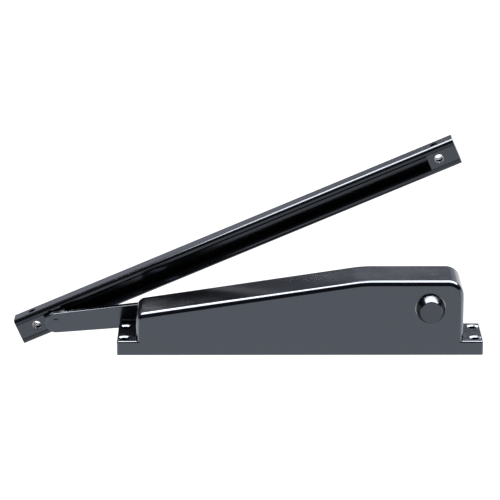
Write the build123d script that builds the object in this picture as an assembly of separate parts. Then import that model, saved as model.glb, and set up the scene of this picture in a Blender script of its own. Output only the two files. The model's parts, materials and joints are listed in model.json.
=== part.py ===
from build123d import *
import os
from math import asin, atan2, cos, degrees, hypot, pi, radians, sin, tan

# Slide-rail door closer: a cast body with a rack-and-pinion drive, a flat arm and a slotted rail.
#
# X runs along the body, Z stands up from the mounting face and Y is the direction of the spindle, with
# the arm and the rail on the +Y side. The origin is the centre of the four mounting screws on that face.
# All sizes are in millimetres.

# Body
body_length = 226.0       # over the two feet
body_depth = 35.6         # along the spindle
body_height = 47.1        # at the spindle end
wall_left = -101.0        # end walls of the raised part
wall_right = 100.5
bend_x = 39.0             # where the flat top starts to fall away
top_slope = 0.152
bend_radius = 80.0
corner_radius = 9.5       # at the tall end
low_corner_radius = 5.0   # at the low end
edge_radius = 3.2         # all round the front and back faces
foot_height = 8.7
foot_corner_radius = 1.5  # upright edges at the tips of the feet
foot_rim_radius = 1.0     # round the top faces of the feet

# Mounting screw holes
screw_spacing_x = 217.0
screw_spacing_y = 21.0
screw_hole_radius = 2.65
countersink_radius = 3.9
countersink_depth = 0.7

# Piston bore, its end plug and the seat at its blind end
bore_z = 20.0
bore_radius = 9.5
bore_left = -58.0
plug_left = wall_right - 5.4
plug_radius = 9.45
plug_groove_left = wall_right - 4.7
plug_groove_width = 1.8
plug_groove_radius = 7.75
socket_radius = 4.6       # hexagon, over its corners
socket_depth = 3.0
seat_radius = 9.2
seat_thickness = 2.2
seat_nose = 4.0
seat_right = bore_left + seat_thickness

# Closing spring
wire_radius = 1.5
coil_radius = 7.3
coils = 16
spring_gap = 0.25

# Spindle and its cross bore
spindle_x = 80.0
spindle_z = 30.2
journal_radius = 5.0
running_gap = 0.05
cross_bore_radius = 9.4
rear_bore_radius = 7.6
rear_bore_back = 16.4
exit_radius = 5.4
gear_half_width = 7.0
bearing_gap = 0.3         # between the gear and each bearing
bearing_radius = 9.35
rear_bearing_radius = 7.55
rear_bearing_back = 13.4
nut_back = -12.7
front_seal_back = -10.9
nut_slot_station = 7.4
nut_groove = (-14.9, -13.3, 7.9)  # front, back and radius
square = 7.0              # across the flats of both spindle ends
stub_front = -22.0
stub_back = -17.0
collar_front = 18.4
collar_radius = 6.5
square_back = 25.2
tapped_radius = 2.0
tapped_depth = 10.0

# Rack and pinion
module = 1.25
teeth = 8
pressure_angle = 30.0
addendum = 0.85 * module
root_gap = 0.25
backlash = 0.12
pitch_radius = module * teeth / 2

# Piston
piston_left = 46.0
piston_radius = 9.44
head_right = 66.5
rack_left = 69.0
rack_right = 95.0
rack_half_width = 6.8
shoulder_z = 20.4
ring_grooves = (50.0, 60.0)
ring_width = 2.2
ring_groove_radius = 7.7
ball_z = 24.0
ball_radius = 1.5
ball_pocket_radius = 1.65
ball_pocket_depth = 4.9
ball_cap_radius = 3.0
ball_cap_thickness = 1.2
oil_passage_radius = 0.9

# Speed valves, in the tall end wall
valve_z = 34.0
valve_y = 7.0
valve_bore_radius = 2.6
valve_bore_left = 92.0
valve_head_x = wall_right - 0.5
valve_groove = (95.0, 96.4, 1.7)  # left, right and radius

# Spindle cap
cap_base_radius = 8.9
cap_front_radius = 6.6
cap_rim_radius = 0.6
cap_projection = 7.8
cap_straight = 2.4        # length of its side before the taper
cap_seat = 1.5            # depth of the ring-shaped recess round the cap
cap_wall = 1.5

# Arm and its pivot
arm_front = 21.0
arm_back = 25.5
arm_boss_radius = 11.0    # at the spindle
arm_tip_radius = 6.3      # at the pivot
arm_edge_radius = 0.45
screw_head_radius = 4.9
screw_head_height = 0.9
pivot_x = -153.0
pivot_z = 7.5
rivet_radius = 3.0
rivet_head_radius = 3.1
rivet_head_height = 0.4
rivet_foot_front = 38.5
rivet_foot_radius = 4.0
washer_radius = 4.8
washer_back = 27.4

# Rail
rail_length = 300.0
rail_width = 16.6
rail_front = 33.0
rail_back = 46.4
rail_wall = 1.6
rail_angle = 23.37        # rise above X in the stored position
rail_front_radius = 2.2
rail_back_radius = 1.0
slot_width = 7.8
slot_chamfer = 1.2
pivot_station = 26.4      # from the rail's low end to the pivot
slider_length = 14.0
slider_front = 27.6
slider_back = 42.0
slide_gap = 0.1
end_block_length = 19.0
end_block_fit = 0.02
end_block_gap = 0.3       # round its face, in the slot
rail_hole_station = 12.2  # from each end
rail_hole_radius = 3.0
side_hole_radius = 2.4

half_depth = body_depth / 2
front_face = -half_depth
cap_back = front_face + cap_seat
gear_face = gear_half_width + bearing_gap
lip_back = rail_front + rail_wall
channel_half = rail_width / 2 - rail_wall
arm_length = hypot(spindle_x - pivot_x, spindle_z - pivot_z)
arm_tilt = -degrees(atan2(spindle_z - pivot_z, spindle_x - pivot_x))

# The pivot frame: X along the rail, Z across it, with the origin on the slider's pivot.
pivot_frame = Location((pivot_x, 0, pivot_z), (0, -rail_angle, 0))
rail_low_end = -pivot_station
rail_high_end = rail_length - pivot_station

# The arm frame: X along the arm from its pivot to the spindle.
arm_frame = Location((pivot_x, 0, pivot_z), (0, arm_tilt, 0))


def block(x0, x1, y0, y1, z0, z1):
    """A box between two corners."""
    return Pos((x0 + x1) / 2, (y0 + y1) / 2, (z0 + z1) / 2) * Box(x1 - x0, y1 - y0, z1 - z0)


def bar_x(radius, left, right, y=0.0, z=0.0):
    """A round bar along X."""
    return Pos((left + right) / 2, y, z) * Rot(0, 90, 0) * Cylinder(radius, right - left)


def bar_y(radius, front, back, x=0.0, z=0.0):
    """A round bar along Y."""
    return Pos(x, (front + back) / 2, z) * Rot(90, 0, 0) * Cylinder(radius, back - front)


def bar_z(radius, low, high, x=0.0, y=0.0):
    """A round bar along Z."""
    return Pos(x, y, (low + high) / 2) * Cylinder(radius, high - low)


def ring_x(major, minor, x, y, z):
    """A round-section ring about an axis along X."""
    return Pos(x, y, z) * Rot(0, 90, 0) * Torus(major, minor)


def ring_y(major, minor, x, y, z):
    """A round-section ring about an axis along Y."""
    return Pos(x, y, z) * Rot(90, 0, 0) * Torus(major, minor)


def plate_y(corners, front, back):
    """A flat plate with its outline in XZ, between two places along Y."""
    plate = extrude(Plane.XZ * make_face(Polyline(*corners, close=True)), front - back)
    return Pos(0, front, 0) * plate


def top_height(x):
    """Height of the body's top face, bend not rounded."""
    return body_height - top_slope * max(0.0, bend_x - x)


def raised_block():
    """The tall part of the body, rounded in side view and along its front and back faces."""
    corners = [
        (wall_left, 0, 0),
        (wall_left, top_height(wall_left), low_corner_radius),
        (bend_x, body_height, bend_radius),
        (wall_right, body_height, corner_radius),
        (wall_right, 0, 0),
    ]
    outline = Plane.XZ * make_face(Polyline(*[(x, z) for x, z, radius in corners], close=True))
    for x, z, radius in corners:
        if radius:
            nearest = min(outline.vertices(), key=lambda v: hypot(v.X - x, v.Z - z))
            outline = fillet(nearest, radius)
    solid = extrude(outline, half_depth, both=True)
    rims = [e for e in solid.edges() if abs(abs(e.center().Y) - half_depth) < 0.01 and e.center().Z > 0.1]
    return fillet(rims, edge_radius)


def base_plate():
    """The plate that runs under the raised part and stands out at both ends as the feet."""
    tip = body_length / 2
    solid = block(-tip, tip, -half_depth, half_depth, 0, foot_height)
    solid = fillet(solid.edges().filter_by(Axis.Z), foot_corner_radius)
    return fillet(solid.faces().sort_by(Axis.Z)[-1].edges(), foot_rim_radius)


def mounting_holes():
    """The four countersunk screw holes through the feet."""
    holes = []
    for x in (-screw_spacing_x / 2, screw_spacing_x / 2):
        for y in (-screw_spacing_y / 2, screw_spacing_y / 2):
            holes.append(bar_z(screw_hole_radius, -1, foot_height + 1, x, y))
            sink = Cone(screw_hole_radius, countersink_radius, countersink_depth)
            holes.append(Pos(x, y, foot_height - countersink_depth / 2) * sink)
    return holes


def housing():
    """The cast body with its piston bore, spindle bore and valve bores."""
    solid = raised_block() + base_plate()
    cuts = mounting_holes()
    cuts.append(bar_x(bore_radius, bore_left, wall_right + 1, z=bore_z))
    cuts.append(bar_y(cross_bore_radius, front_face - 1, gear_face, spindle_x, spindle_z))
    cuts.append(bar_y(rear_bore_radius, 0, rear_bore_back, spindle_x, spindle_z))
    cuts.append(bar_y(exit_radius, 0, half_depth + 1, spindle_x, spindle_z))
    for y in (-valve_y, valve_y):
        cuts.append(bar_x(valve_bore_radius, valve_bore_left, wall_right + 1, y, valve_z))
        cuts.append(bar_x(oil_passage_radius, spindle_x, valve_bore_left + 1, y, valve_z))
    for cut in cuts:
        solid = solid - cut
    return solid


def end_plug():
    """Threaded plug that closes the piston bore, with a hexagon socket and a groove for its ring."""
    groove_right = plug_groove_left + plug_groove_width
    solid = bar_x(plug_radius, plug_left, wall_right, z=bore_z)
    groove = bar_x(plug_radius + 1, plug_groove_left, groove_right, z=bore_z)
    groove = groove - bar_x(plug_groove_radius, plug_groove_left, groove_right, z=bore_z)
    socket = Rot(0, 90, 0) * extrude(RegularPolygon(socket_radius, 6), socket_depth + 1)
    solid = solid - groove - Pos(wall_right - socket_depth, 0, bore_z) * socket
    return chamfer(solid.edges().filter_by(GeomType.CIRCLE).sort_by(Axis.X)[-1], 0.4)


def end_plug_ring():
    """Sealing ring in the end plug's groove."""
    return ring_x(8.62, 0.82, plug_groove_left + plug_groove_width / 2, 0, bore_z)


def spring_seat():
    """Cupped washer under the spring at the blind end of the bore."""
    flange = bar_x(seat_radius, bore_left, seat_right, z=bore_z)
    nose = bar_x(5.4, seat_right, seat_right + seat_nose, z=bore_z)
    return flange + nose - bar_x(2.5, bore_left - 1, seat_right + seat_nose + 1, z=bore_z)


def main_spring():
    """Closing spring, a round-wire compression coil between the seat and the piston."""
    left = seat_right + wire_radius + spring_gap
    length = piston_left - wire_radius - spring_gap - left
    path = Helix(length / coils, length, coil_radius, direction=(1, 0, 0), center=(left, 0, bore_z))
    section = Plane(origin=path @ 0, z_dir=path % 0) * Circle(wire_radius)
    return sweep(section, path=path, is_frenet=True)


def rack_space(x):
    """The gap between two rack teeth, centred on x."""
    pitch_z = spindle_z - pitch_radius
    half = pi * module / 4
    lean = tan(radians(pressure_angle))
    top, bottom = pitch_z + addendum + 0.5, pitch_z - addendum - root_gap
    wide = half + (top - pitch_z) * lean
    narrow = half - (pitch_z - bottom) * lean
    corners = [(x - narrow, bottom), (x + narrow, bottom), (x + wide, top), (x - wide, top)]
    return extrude(Plane.XZ * make_face(Polyline(*corners, close=True)), rack_half_width + 2, both=True)


def piston():
    """Piston head with ring grooves and a check-valve passage, and the toothed rack under the pinion."""
    rack_top = spindle_z - pitch_radius + addendum
    head = bar_x(piston_radius, piston_left, head_right, z=bore_z)
    tail = bar_x(piston_radius, head_right, rack_right, z=bore_z)
    tail = tail & block(head_right, rack_right, -15, 15, 0, shoulder_z)
    rib = bar_x(piston_radius, rack_left, rack_right, z=bore_z)
    rib = rib & block(rack_left, rack_right, -rack_half_width, rack_half_width, shoulder_z - 1, rack_top)
    solid = head + tail + rib
    for left in ring_grooves:
        groove = bar_x(piston_radius + 1, left, left + ring_width, z=bore_z)
        solid = solid - (groove - bar_x(ring_groove_radius, left, left + ring_width, z=bore_z))
    for k in range(-1, 5):
        solid = solid - rack_space(spindle_x + k * pi * module)
    solid = solid - bar_x(ball_cap_radius, piston_left - 1, piston_left + ball_cap_thickness, z=ball_z)
    solid = solid - bar_x(ball_pocket_radius, piston_left, piston_left + ball_pocket_depth, z=ball_z)
    return solid - bar_x(oil_passage_radius, piston_left, head_right + 1, z=ball_z)


def piston_rings():
    """Two slide rings round the piston head."""
    rings = []
    for left in ring_grooves:
        outer = bar_x(9.46, left + 0.1, left + ring_width - 0.1, z=bore_z)
        rings.append(outer - bar_x(7.8, left, left + ring_width, z=bore_z))
    return Compound(children=rings)


def check_valve_cap():
    """Drilled disc that keeps the check ball in the piston head."""
    disc = bar_x(ball_cap_radius - running_gap, piston_left, piston_left + ball_cap_thickness, z=ball_z)
    return disc - bar_x(0.7, piston_left - 1, piston_left + 2, z=ball_z)


def check_ball():
    """Check-valve ball, resting against the cap side of its pocket."""
    return Pos(piston_left + ball_cap_thickness + running_gap + ball_radius, 0, ball_z) * Sphere(ball_radius)


def involute(radius, base):
    """Roll angle minus pressure angle of the involute at a radius."""
    roll = (max(radius**2 / base**2, 1.0) - 1) ** 0.5
    return roll - atan2(roll, 1)


def pinion():
    """The gear on the spindle, with one tooth pointing straight down at the rack."""
    base = pitch_radius * cos(radians(pressure_angle))
    tip, root = pitch_radius + addendum, pitch_radius - addendum - root_gap
    half = (pi * module / 2 - backlash) / 2 / pitch_radius + involute(pitch_radius, base)
    radii = [root] + [base + (tip - base) * k / 5 for k in range(6)]
    flank = [(r, half - involute(r, base)) for r in radii]
    points = []
    for tooth in range(teeth):
        middle = -pi / 2 + 2 * pi * tooth / teeth
        for r, a in flank:
            points.append((r * cos(middle - a), r * sin(middle - a)))
        for r, a in reversed(flank):
            points.append((r * cos(middle + a), r * sin(middle + a)))
    gear = extrude(Plane.XZ * make_face(Polyline(*points, close=True)), gear_half_width, both=True)
    return Pos(spindle_x, 0, spindle_z) * gear


def square_end(front, back, tilt=0.0):
    """A square length of the spindle, turned about its axis by the tilt."""
    half = square / 2
    return Pos(spindle_x, 0, spindle_z) * Rot(0, tilt, 0) * block(-half, half, front, back, -half, half)


def spindle():
    """Pinion shaft: squared front stub, journals, gear, collar and the square that drives the arm."""
    solid = pinion()
    for front, back in ((stub_back, -gear_half_width), (gear_half_width, collar_front)):
        solid = solid + bar_y(journal_radius, front, back, spindle_x, spindle_z)
    solid = solid + bar_y(collar_radius, collar_front, arm_front, spindle_x, spindle_z)
    solid = solid + square_end(stub_front, stub_back) + square_end(arm_front, square_back, arm_tilt)
    return solid - bar_y(tapped_radius, square_back - tapped_depth, square_back + 1, spindle_x, spindle_z)


def round_shell(outer, inner, front, back):
    """A ring about the spindle."""
    hole = bar_y(inner, front - 1, back + 1, spindle_x, spindle_z)
    return bar_y(outer, front, back, spindle_x, spindle_z) - hole


def front_nut():
    """Slotted ring nut that closes the spindle bore behind the cap."""
    solid = round_shell(bearing_radius, journal_radius + 0.4, cap_back, nut_back)
    for side in (-1, 1):
        x = spindle_x + side * nut_slot_station
        solid = solid - bar_y(0.8, cap_back - 1, cap_back + 2, x, spindle_z)
    front, back, radius = nut_groove
    return solid - round_shell(bearing_radius + 1, radius, front, back)


def front_nut_ring():
    """Sealing ring in the ring nut's groove."""
    front, back, radius = nut_groove
    return ring_y(radius + 0.72, 0.7, spindle_x, (front + back) / 2, spindle_z)


def front_seal():
    """Lip seal in front of the front bearing."""
    return round_shell(bearing_radius, journal_radius + running_gap, nut_back, front_seal_back)


def front_bearing():
    """Front spindle bearing."""
    return round_shell(bearing_radius, journal_radius + running_gap, front_seal_back, -gear_face)


def rear_bearing():
    """Rear spindle bearing."""
    return round_shell(rear_bearing_radius, journal_radius + running_gap, gear_face, rear_bearing_back)


def rear_seal():
    """Lip seal behind the rear bearing."""
    return round_shell(rear_bearing_radius, journal_radius + running_gap, rear_bearing_back, rear_bore_back)


def cap_form(base_radius, front_radius, front, back):
    """A round bar that tapers towards its front end."""
    shoulder = front_face - cap_straight
    taper = Rot(90, 0, 0) * Cone(base_radius, front_radius, shoulder - front)
    side = bar_y(base_radius, shoulder, back, spindle_x, spindle_z)
    return side + Pos(spindle_x, (front + shoulder) / 2, spindle_z) * taper


def spindle_cap():
    """Hollow tapered cap over the unused spindle end, seated in the ring recess."""
    tip = front_face - cap_projection
    solid = cap_form(cap_base_radius, cap_front_radius, tip, cap_back)
    front_edge = solid.edges().filter_by(GeomType.CIRCLE).sort_by(Axis.Y)[0]
    solid = fillet(front_edge, cap_rim_radius)
    inner_base, inner_front = cap_base_radius - cap_wall, cap_front_radius - cap_wall
    return solid - cap_form(inner_base, inner_front, tip + cap_wall, cap_back + 1)


def valve_screw(y):
    """Speed valve: sealing groove, needle tip and a screwdriver slot in its outer end."""
    left, right, radius = valve_groove
    solid = bar_x(valve_bore_radius - running_gap, valve_bore_left + 0.8, valve_head_x, y, valve_z)
    needle = Cone(0.35, 0.7, 1.6)
    solid = solid + Pos(valve_bore_left + 0.05, y, valve_z) * Rot(0, 90, 0) * needle
    groove = bar_x(3.5, left, right, y, valve_z) - bar_x(radius, left, right, y, valve_z)
    slot = block(valve_head_x - 1.1, valve_head_x + 1, y - 0.45, y + 0.45, valve_z - 4, valve_z + 4)
    return solid - groove - slot


def valve_ring(y):
    """Sealing ring of a speed valve."""
    left, right, radius = valve_groove
    return ring_x(radius + 0.44, 0.38, (left + right) / 2, y, valve_z)


def arm():
    """Flat arm that widens from its round pivot end to its round spindle end."""
    spread = asin((arm_boss_radius - arm_tip_radius) / arm_length)
    ends = ((0, arm_tip_radius), (arm_length, arm_boss_radius))
    upper = [(x - r * sin(spread), r * cos(spread)) for x, r in ends]
    lower = [(x - r * sin(spread), -r * cos(spread)) for x, r in reversed(ends)]
    solid = plate_y(upper + lower, arm_front, arm_back)
    for x, radius in ends:
        solid = solid + bar_y(radius, arm_front, arm_back, x)
    rims = [e for e in solid.edges() if abs(e.center().Y - arm_front) < 0.01]
    solid = fillet(rims, arm_edge_radius)
    hole = square / 2 + 0.03
    solid = solid - block(arm_length - hole, arm_length + hole, arm_front - 1, arm_back + 1, -hole, hole)
    solid = solid - bar_y(screw_head_radius + 0.1, square_back, arm_back + 1, arm_length)
    solid = solid - bar_y(rivet_radius, arm_front - 1, arm_back + 1)
    return arm_frame * solid


def arm_screw():
    """Low-headed screw that clamps the arm on the spindle."""
    shank = bar_y(tapped_radius - running_gap, square_back - 8, square_back, spindle_x, spindle_z)
    back = square_back + screw_head_height
    head = bar_y(screw_head_radius, square_back, back, spindle_x, spindle_z)
    slot = block(-6, 6, square_back + 0.4, back + 1, -0.5, 0.5)
    return shank + head - Pos(spindle_x, 0, spindle_z) * slot


def pivot_rivet():
    """Rivet through the arm's round end, with a low domed head, on which the slider turns."""
    dome_radius = (rivet_head_radius**2 + rivet_head_height**2) / (2 * rivet_head_height)
    dome = Pos(0, arm_front - rivet_head_height + dome_radius, 0) * Sphere(dome_radius)
    head = dome & bar_y(rivet_head_radius + 1, arm_front - 1, arm_front)
    shank = bar_y(rivet_radius, arm_front, rivet_foot_front)
    foot = bar_y(rivet_foot_radius, rivet_foot_front, slider_back - 0.3)
    return arm_frame * (head + shank + foot)


def pivot_washer():
    """Washer between the arm and the slider."""
    ring = bar_y(washer_radius, arm_back, washer_back) - bar_y(rivet_radius, arm_back - 1, washer_back + 1)
    return arm_frame * ring


def slot_bar(left, right, front, back, gap):
    """A bar that fits the rail's slot, with its chamfered lips, less a gap on each side."""
    half = slot_width / 2 - gap
    root = rail_front + slot_chamfer
    side = [(front, half + root - front), (root, half), (back, half)]
    section = side + [(y, -z) for y, z in reversed(side)]
    return Pos(left, 0, 0) * extrude(Plane.YZ * make_face(Polyline(*section, close=True)), right - left)


def slider():
    """Plastic slide block: its wide part fills the rail's channel and its neck stands out of the slot."""
    half = slider_length / 2
    wide = channel_half - slide_gap
    base = block(-half, half, lip_back + slide_gap, slider_back, -wide, wide)
    base = fillet(base.edges().filter_by(Axis.Y), 1.0)
    neck_half = slot_width / 2 - slide_gap
    neck = block(-half, half, slider_front, lip_back + 1, -neck_half, neck_half)
    neck = fillet(neck.edges().filter_by(Axis.Y), 0.6)
    solid = base + neck - bar_y(rivet_radius + running_gap, slider_front - 1, slider_back + 1)
    solid = solid - bar_y(rivet_foot_radius + 0.5, rivet_foot_front - 0.3, slider_back + 1)
    return pivot_frame * solid


def rail_holes():
    """Screw holes at both ends of the rail: one through its slot side and one across it."""
    holes = []
    for x in (rail_low_end + rail_hole_station, rail_high_end - rail_hole_station):
        holes.append(bar_y(rail_hole_radius, rail_front - 1, rail_back + 1, x))
        holes.append(bar_z(side_hole_radius, -rail_width, rail_width, x, (rail_front + rail_back) / 2))
    return holes


def rail():
    """Slotted channel that the slider runs in."""
    half = rail_width / 2
    left, right = rail_low_end - 1, rail_high_end + 1
    solid = block(rail_low_end, rail_high_end, rail_front, rail_back, -half, half)
    long_edges = solid.edges().filter_by(Axis.X).sort_by(Axis.Y)
    solid = fillet(long_edges[:2], rail_front_radius)
    long_edges = solid.edges().filter_by(Axis.X).sort_by(Axis.Y)
    solid = fillet(long_edges[-2:], rail_back_radius)
    inside = block(left, right, lip_back, rail_back - rail_wall, -channel_half, channel_half)
    solid = solid - inside - slot_bar(left, right, rail_front - 1, lip_back + 1, 0)
    for hole in rail_holes():
        solid = solid - hole
    return pivot_frame * solid


def end_block(start):
    """Plug pressed into one end of the rail, flush with its lips and end face."""
    wide = channel_half - end_block_fit
    end = start + end_block_length
    inner_back = rail_back - rail_wall - end_block_fit
    solid = block(start, end, lip_back + end_block_fit, inner_back, -wide, wide)
    solid = solid + slot_bar(start, end, rail_front, lip_back + 1, end_block_gap)
    for hole in rail_holes():
        solid = solid - hole
    return pivot_frame * solid


nodes = {
    "housing": housing,
    "end_plug": end_plug,
    "end_plug_ring": end_plug_ring,
    "spring_seat": spring_seat,
    "main_spring": main_spring,
    "piston": piston,
    "piston_rings": piston_rings,
    "check_valve_cap": check_valve_cap,
    "check_ball": check_ball,
    "spindle": spindle,
    "front_bearing": front_bearing,
    "rear_bearing": rear_bearing,
    "front_seal": front_seal,
    "rear_seal": rear_seal,
    "front_nut": front_nut,
    "front_nut_ring": front_nut_ring,
    "spindle_cap": spindle_cap,
    "closing_valve": lambda: valve_screw(-valve_y),
    "latching_valve": lambda: valve_screw(valve_y),
    "closing_valve_ring": lambda: valve_ring(-valve_y),
    "latching_valve_ring": lambda: valve_ring(valve_y),
    "arm": arm,
    "arm_screw": arm_screw,
    "pivot_rivet": pivot_rivet,
    "pivot_washer": pivot_washer,
    "slider": slider,
    "rail": rail,
    "end_block_low": lambda: end_block(rail_low_end),
    "end_block_high": lambda: end_block(rail_high_end - end_block_length),
}

os.makedirs("parts", exist_ok=True)
for name, make in nodes.items():
    export_step(make(), f"parts/{name}.step")
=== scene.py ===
import json
import math

import bpy
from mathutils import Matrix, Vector


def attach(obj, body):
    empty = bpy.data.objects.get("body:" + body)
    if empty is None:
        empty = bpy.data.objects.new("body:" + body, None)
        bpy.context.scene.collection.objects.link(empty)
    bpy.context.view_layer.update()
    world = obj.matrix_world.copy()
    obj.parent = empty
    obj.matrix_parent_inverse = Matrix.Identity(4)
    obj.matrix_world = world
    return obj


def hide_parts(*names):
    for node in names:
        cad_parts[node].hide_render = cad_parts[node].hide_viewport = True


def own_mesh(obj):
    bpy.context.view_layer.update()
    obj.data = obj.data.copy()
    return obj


# A slide-rail door closer in black paint, on a white light table under one large softbox.
# Lengths are in metres, in the CAD model's frame: X along the body, Y along the spindle, Z up.

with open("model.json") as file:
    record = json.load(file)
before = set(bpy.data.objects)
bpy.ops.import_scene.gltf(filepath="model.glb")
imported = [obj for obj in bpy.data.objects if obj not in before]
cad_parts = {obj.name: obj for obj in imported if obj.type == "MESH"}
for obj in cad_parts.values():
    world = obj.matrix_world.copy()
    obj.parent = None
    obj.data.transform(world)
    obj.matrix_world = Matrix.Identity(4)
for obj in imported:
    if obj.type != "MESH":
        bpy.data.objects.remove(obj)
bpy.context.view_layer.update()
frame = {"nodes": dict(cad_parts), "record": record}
nodes = frame["nodes"]

# Camera: the viewing direction, the point it looks at and how far away it stands.
VIEW_AZIMUTH = math.radians(0.113)
VIEW_ELEVATION = math.radians(17.37)
VIEW_TARGET = Vector((-0.0308, -0.0058, 0.0641))
VIEW_DISTANCE = 1.681
LENS = 197.2                             # mm
SENSOR = 36.0                            # mm

# Finishes
WHITE = (1.0, 1.0, 1.0)
BLUE_BLACK = (0.76, 0.84, 1.0)           # what the black finishes reflect of white
BLACK = (0.002, 0.0022, 0.0027)
RAIL_BLACK = (0.004, 0.0042, 0.0048)
CAP_BLACK = (0.002, 0.0021, 0.0025)
BLOCK_BLACK = (0.004, 0.0042, 0.005)
OFF_WHITE = (0.7, 0.68, 0.6)
STEEL = (0.55, 0.56, 0.58)
SPRING_STEEL = (0.2, 0.205, 0.22)
OIL_STAIN = (0.05, 0.045, 0.04)
ZINC = (0.62, 0.64, 0.66)
ZINC_STAIN = (0.5, 0.49, 0.42)
BRONZE = (0.62, 0.42, 0.2)
BRONZE_STAIN = (0.3, 0.17, 0.08)
RUBBER = (0.012, 0.012, 0.012)
RUBBER_BLOOM = (0.03, 0.03, 0.031)
MARK_DEPTH = 6e-6                        # tool marks in ground metal
BLOOM_DEPTH = 1.5e-5                     # bloom on rubber

# Floor and lights
FLOOR_Z = -0.30                          # below the reach of the arm and the rail
FLOOR_SIZE = 40.0
FLOOR_GREY = (0.03, 0.03, 0.03)
FLOOR_CLOUD = (0.04, 0.04, 0.04)
FLOOR_GLOW = 0.97
SOFTBOX = ((-0.78, 0.1, 1.2), (1.4, 2.4, 1.2))          # two opposite corners
SOFTBOX_RADIANCE = 12.5
CARD_X = 0.8                             # to each side
CARD_Y = (-0.6, 1.2)
CARD_Z = (-0.28, 0.23)
CARD_RADIANCE = 1.1

# Room, by direction: each pair is where a change of light starts and ends along a unit axis.
HORIZON = (0.02, 0.09)                   # along Z, from white up to the room
FRONT_TO_BACK = (-0.1, 0.3)              # along Y
BACK_RISE = (0.19, 0.26)                 # along Z, from the low to the high part of the back
BACK_SPREAD = (-0.09, -0.03)             # along X, from left to right across the high part
FRONT = 0.04
LOW_BACK = 0.6
LEFT_BACK, RIGHT_BACK = 0.13, 0.28
ROOM_TINT = (0.81, 0.85, 1.0)            # of the light from above the horizon


def make_camera():
    """The camera at the photographed viewing angle."""
    cam = bpy.data.objects.new("camera", bpy.data.cameras.new("camera"))
    bpy.context.scene.collection.objects.link(cam)
    level = math.cos(VIEW_ELEVATION)
    across, along = math.sin(VIEW_AZIMUTH) * level, math.cos(VIEW_AZIMUTH) * level
    ahead = Vector((across, along, -math.sin(VIEW_ELEVATION)))
    cam.location = VIEW_TARGET - ahead * VIEW_DISTANCE
    cam.rotation_euler = ahead.to_track_quat("-Z", "Y").to_euler()
    cam.data.lens = LENS
    cam.data.sensor_width = SENSOR
    cam.data.clip_start, cam.data.clip_end = 0.05, 100.0
    bpy.context.scene.camera = cam


def scaled(colour, factor):
    """A colour made lighter or darker."""
    return tuple(c * factor for c in colour)


def opaque(colour):
    """A colour as a socket takes it, with an alpha of 1."""
    return (*colour, 1.0)


def map_range(tree, source, start, end, low, high, smooth=False):
    """The source from start to end, mapped to low to high."""
    node = tree.nodes.new("ShaderNodeMapRange")
    if smooth:
        node.interpolation_type = "SMOOTHSTEP"
    for socket, value in (("From Min", start), ("From Max", end), ("To Min", low), ("To Max", high)):
        node.inputs[socket].default_value = value
    tree.links.new(source, node.inputs["Value"])
    return node.outputs["Result"]


def blend_colours(tree, factor, first, second):
    """A blend of two colours, each of them a tuple or another node's output."""
    node = tree.nodes.new("ShaderNodeMix")
    node.data_type = "RGBA"
    tree.links.new(factor, node.inputs["Factor"])
    for socket, colour in (("A", first), ("B", second)):
        if isinstance(colour, tuple):
            node.inputs[socket].default_value = opaque(colour)
        else:
            tree.links.new(colour, node.inputs[socket])
    return node.outputs["Result"]


class Surface:
    """A node material under construction: its tree, its shader and the object-space position."""

    def __init__(self, name):
        self.material = bpy.data.materials.new(name)
        self.material.use_nodes = True
        self.tree = self.material.node_tree
        self.shader = self.tree.nodes["Principled BSDF"]
        self.place = self.tree.nodes.new("ShaderNodeTexCoord").outputs["Object"]

    def link(self, source, target):
        self.tree.links.new(source, target)

    def set(self, **values):
        """Sets uniform values on the shader's own sockets; underscores stand for spaces."""
        for name, value in values.items():
            self.shader.inputs[name.replace("_", " ")].default_value = value

    def stretched(self, stretch):
        """The position scaled along each axis."""
        node = self.tree.nodes.new("ShaderNodeMapping")
        node.inputs["Scale"].default_value = stretch
        self.link(self.place, node.inputs["Vector"])
        return node.outputs["Vector"]

    def noise(self, scale, detail=2.0, stretch=None):
        """Noise at a number of waves per metre."""
        node = self.tree.nodes.new("ShaderNodeTexNoise")
        node.inputs["Scale"].default_value = scale
        node.inputs["Detail"].default_value = detail
        self.link(self.stretched(stretch) if stretch else self.place, node.inputs["Vector"])
        return node.outputs["Fac"]

    def ramp(self, source, low, high, start=0.0, end=1.0):
        """The source from start to end, mapped to low to high."""
        return map_range(self.tree, source, start, end, low, high)

    def colours(self, factor, first, second):
        """A blend of two colours."""
        return blend_colours(self.tree, factor, first, second)

    def bump(self, height, depth, under=None):
        """Adds a relief of a depth in metres, over the one under it."""
        node = self.tree.nodes.new("ShaderNodeBump")
        node.inputs["Strength"].default_value = 1.0
        node.inputs["Distance"].default_value = depth
        self.link(height, node.inputs["Height"])
        if under:
            self.link(under, node.inputs["Normal"])
        self.link(node.outputs["Normal"], self.shader.inputs["Normal"])
        return node.outputs["Normal"]

    def colour(self, source):
        self.link(source, self.shader.inputs["Base Color"])

    def roughness(self, source):
        self.link(source, self.shader.inputs["Roughness"])


def paint(name, colour, gloss, peel_depth, ior):
    """Smooth black paint: orange peel, cloudy gloss and a little fine dust in the film."""
    s = Surface(name)
    clouds = s.noise(60.0, detail=4.0)
    dust = s.noise(5200.0, detail=1.0)
    s.colour(s.colours(clouds, scaled(colour, 0.85), scaled(colour, 1.15)))
    s.roughness(s.ramp(clouds, gloss * 0.85, gloss * 1.2, start=0.3, end=0.7))
    peel = s.bump(s.noise(420.0, detail=1.5), peel_depth)
    s.bump(dust, peel_depth * 0.06, under=peel)
    s.set(IOR=ior, Specular_Tint=opaque(BLUE_BLACK))
    return s.material


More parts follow.
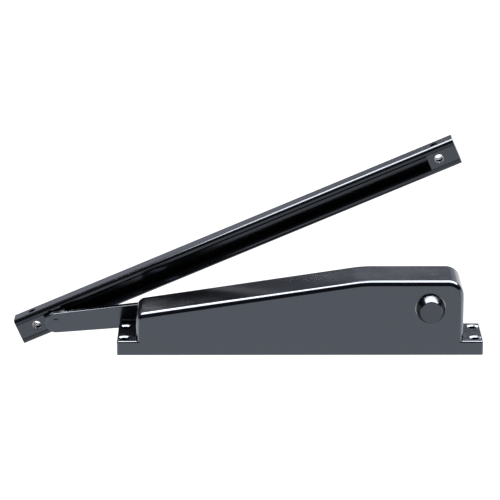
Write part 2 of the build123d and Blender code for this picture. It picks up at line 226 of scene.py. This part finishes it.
def moulded_plastic(name, colour, gloss, grain_depth, ior, tint=WHITE):
    """Moulded plastic with a fine spark-eroded grain."""
    s = Surface(name)
    grain = s.noise(3800.0, detail=3.0)
    flow = s.noise(90.0, detail=3.0, stretch=(1, 1, 4))
    s.colour(s.colours(flow, scaled(colour, 0.85), scaled(colour, 1.2)))
    s.roughness(s.ramp(flow, gloss * 0.9, gloss * 1.15, start=0.3, end=0.7))
    s.bump(grain, grain_depth)
    s.set(IOR=ior, Specular_Tint=opaque(tint))
    return s.material


def ground_metal(name, colour, gloss, stretch, stain):
    """Bare or plated metal with fine tool marks along one direction and cloudy stains."""
    s = Surface(name)
    marks = s.noise(1400.0, detail=4.0, stretch=stretch)
    clouds = s.noise(110.0, detail=5.0)
    base = s.colours(marks, scaled(colour, 0.82), colour)
    stained = s.ramp(clouds, 0.0, 0.6, start=0.45, end=0.75)
    s.colour(s.colours(stained, base, stain))
    s.roughness(s.ramp(marks, gloss * 0.8, gloss * 1.3, start=0.3, end=0.7))
    s.bump(marks, MARK_DEPTH)
    s.set(Metallic=1.0)
    return s.material


def rubber(name):
    """Dull black rubber with a bloom."""
    s = Surface(name)
    bloom = s.noise(700.0, detail=4.0)
    s.colour(s.colours(bloom, RUBBER, RUBBER_BLOOM))
    s.roughness(s.ramp(bloom, 0.5, 0.75))
    s.bump(bloom, BLOOM_DEPTH)
    return s.material


# For each material slot of the record, the function that makes its finish and what that takes.
FINISHES = {
    "body_paint": (paint, BLACK, 0.12, 0.8e-6, 1.95),
    "rail_paint": (paint, RAIL_BLACK, 0.13, 1.0e-6, 1.6),
    "arm_paint": (paint, BLACK, 0.12, 1.0e-6, 1.95),
    "cap_plastic": (moulded_plastic, CAP_BLACK, 0.19, 0.8e-6, 1.85, BLUE_BLACK),
    "block_plastic": (moulded_plastic, BLOCK_BLACK, 0.26, 3.0e-6, 1.85, BLUE_BLACK),
    "ground_steel": (ground_metal, STEEL, 0.24, (1, 6, 1), scaled(STEEL, 0.6)),
    "spring_steel": (ground_metal, SPRING_STEEL, 0.32, (1, 3, 3), OIL_STAIN),
    "zinc_steel": (ground_metal, ZINC, 0.3, (4, 1, 1), ZINC_STAIN),
    "bearing_bronze": (ground_metal, BRONZE, 0.33, (1, 6, 1), BRONZE_STAIN),
    "seal_rubber": (rubber,),
    "ring_plastic": (moulded_plastic, OFF_WHITE, 0.4, 4.0e-6, 1.6),
}


def dress_nodes():
    """Gives every CAD node the finish of its material slot."""
    finishes = {slot: make(slot, *values) for slot, (make, *values) in FINISHES.items()}
    slots = {part["node"]: part["material_slot"] for part in frame["record"]["subparts"]}
    for name, node in nodes.items():
        node.data.materials.clear()
        node.data.materials.append(finishes[slots[name]])


def make_spring():
    """The closing spring, as its own copy of the CAD spring's mesh, attached to the housing; the real
    spring shortens towards its fixed end as the piston runs.
    """
    spring = bpy.data.objects.new("closing_spring", nodes["main_spring"].data.copy())
    bpy.context.scene.collection.objects.link(spring)
    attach(spring, "housing")
    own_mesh(spring)
    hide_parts("main_spring")


def make_floor():
    """A plain pale floor, lit from below like a light table."""
    bpy.ops.mesh.primitive_plane_add(size=FLOOR_SIZE, location=(0, 0, FLOOR_Z))
    floor = bpy.context.object
    floor.name = "floor"
    s = Surface("floor")
    s.colour(s.colours(s.noise(3.0), FLOOR_GREY, FLOOR_CLOUD))
    s.set(Roughness=0.9, Emission_Color=opaque(WHITE), Emission_Strength=FLOOR_GLOW)
    floor.data.materials.append(s.material)


def area(name, low, high, facing, radiance):
    """A flat area light that fills the box from low to high and faces an axis direction."""
    low, high = Vector(low), Vector(high)
    turn = Vector(facing).to_track_quat("-Z", "Y")
    size = turn.inverted() @ (high - low)
    data = bpy.data.lights.new(name, "AREA")
    data.shape = "RECTANGLE"
    data.size, data.size_y = abs(size.x), abs(size.y)
    data.energy = radiance * math.pi * data.size * data.size_y
    light = bpy.data.objects.new(name, data)
    bpy.context.scene.collection.objects.link(light)
    light.location = (low + high) / 2
    light.rotation_euler = turn.to_euler()


def make_lights():
    """One large softbox overhead and a low card at each side."""
    area("softbox", *SOFTBOX, (0, 0, -1), SOFTBOX_RADIANCE)
    for name, side in (("left_card", -1), ("right_card", 1)):
        low = (side * CARD_X, CARD_Y[0], CARD_Z[0])
        high = (side * CARD_X, CARD_Y[1], CARD_Z[1])
        area(name, low, high, (-side, 0, 0), CARD_RADIANCE)


def make_world():
    """The room: white low down all round, dim above, and lighter behind the object than in front."""
    world = bpy.data.worlds.new("studio")
    world.use_nodes = True
    tree = world.node_tree
    direction = tree.nodes.new("ShaderNodeTexCoord").outputs["Generated"]
    split = tree.nodes.new("ShaderNodeSeparateXYZ")
    tree.links.new(direction, split.inputs["Vector"])

    def step(axis, ends, low=0.0, high=1.0):
        return map_range(tree, split.outputs[axis], *ends, low, high, smooth=True)

    def mix(factor, first, second):
        node = tree.nodes.new("ShaderNodeMix")
        tree.links.new(factor, node.inputs["Factor"])
        node.inputs["A"].default_value = first
        tree.links.new(second, node.inputs["B"])
        return node.outputs["Result"]

    above = step("Z", HORIZON)
    back = mix(step("Z", BACK_RISE), LOW_BACK, step("X", BACK_SPREAD, LEFT_BACK, RIGHT_BACK))
    room = mix(step("Y", FRONT_TO_BACK), FRONT, back)
    background = tree.nodes["Background"]
    tree.links.new(mix(above, 1.0, room), background.inputs["Strength"])
    tree.links.new(blend_colours(tree, above, WHITE, ROOM_TINT), background.inputs["Color"])
    bpy.context.scene.world = world
    bpy.context.scene.view_settings.view_transform = "Standard"


make_camera()
dress_nodes()
make_spring()
make_floor()
make_lights()
make_world()
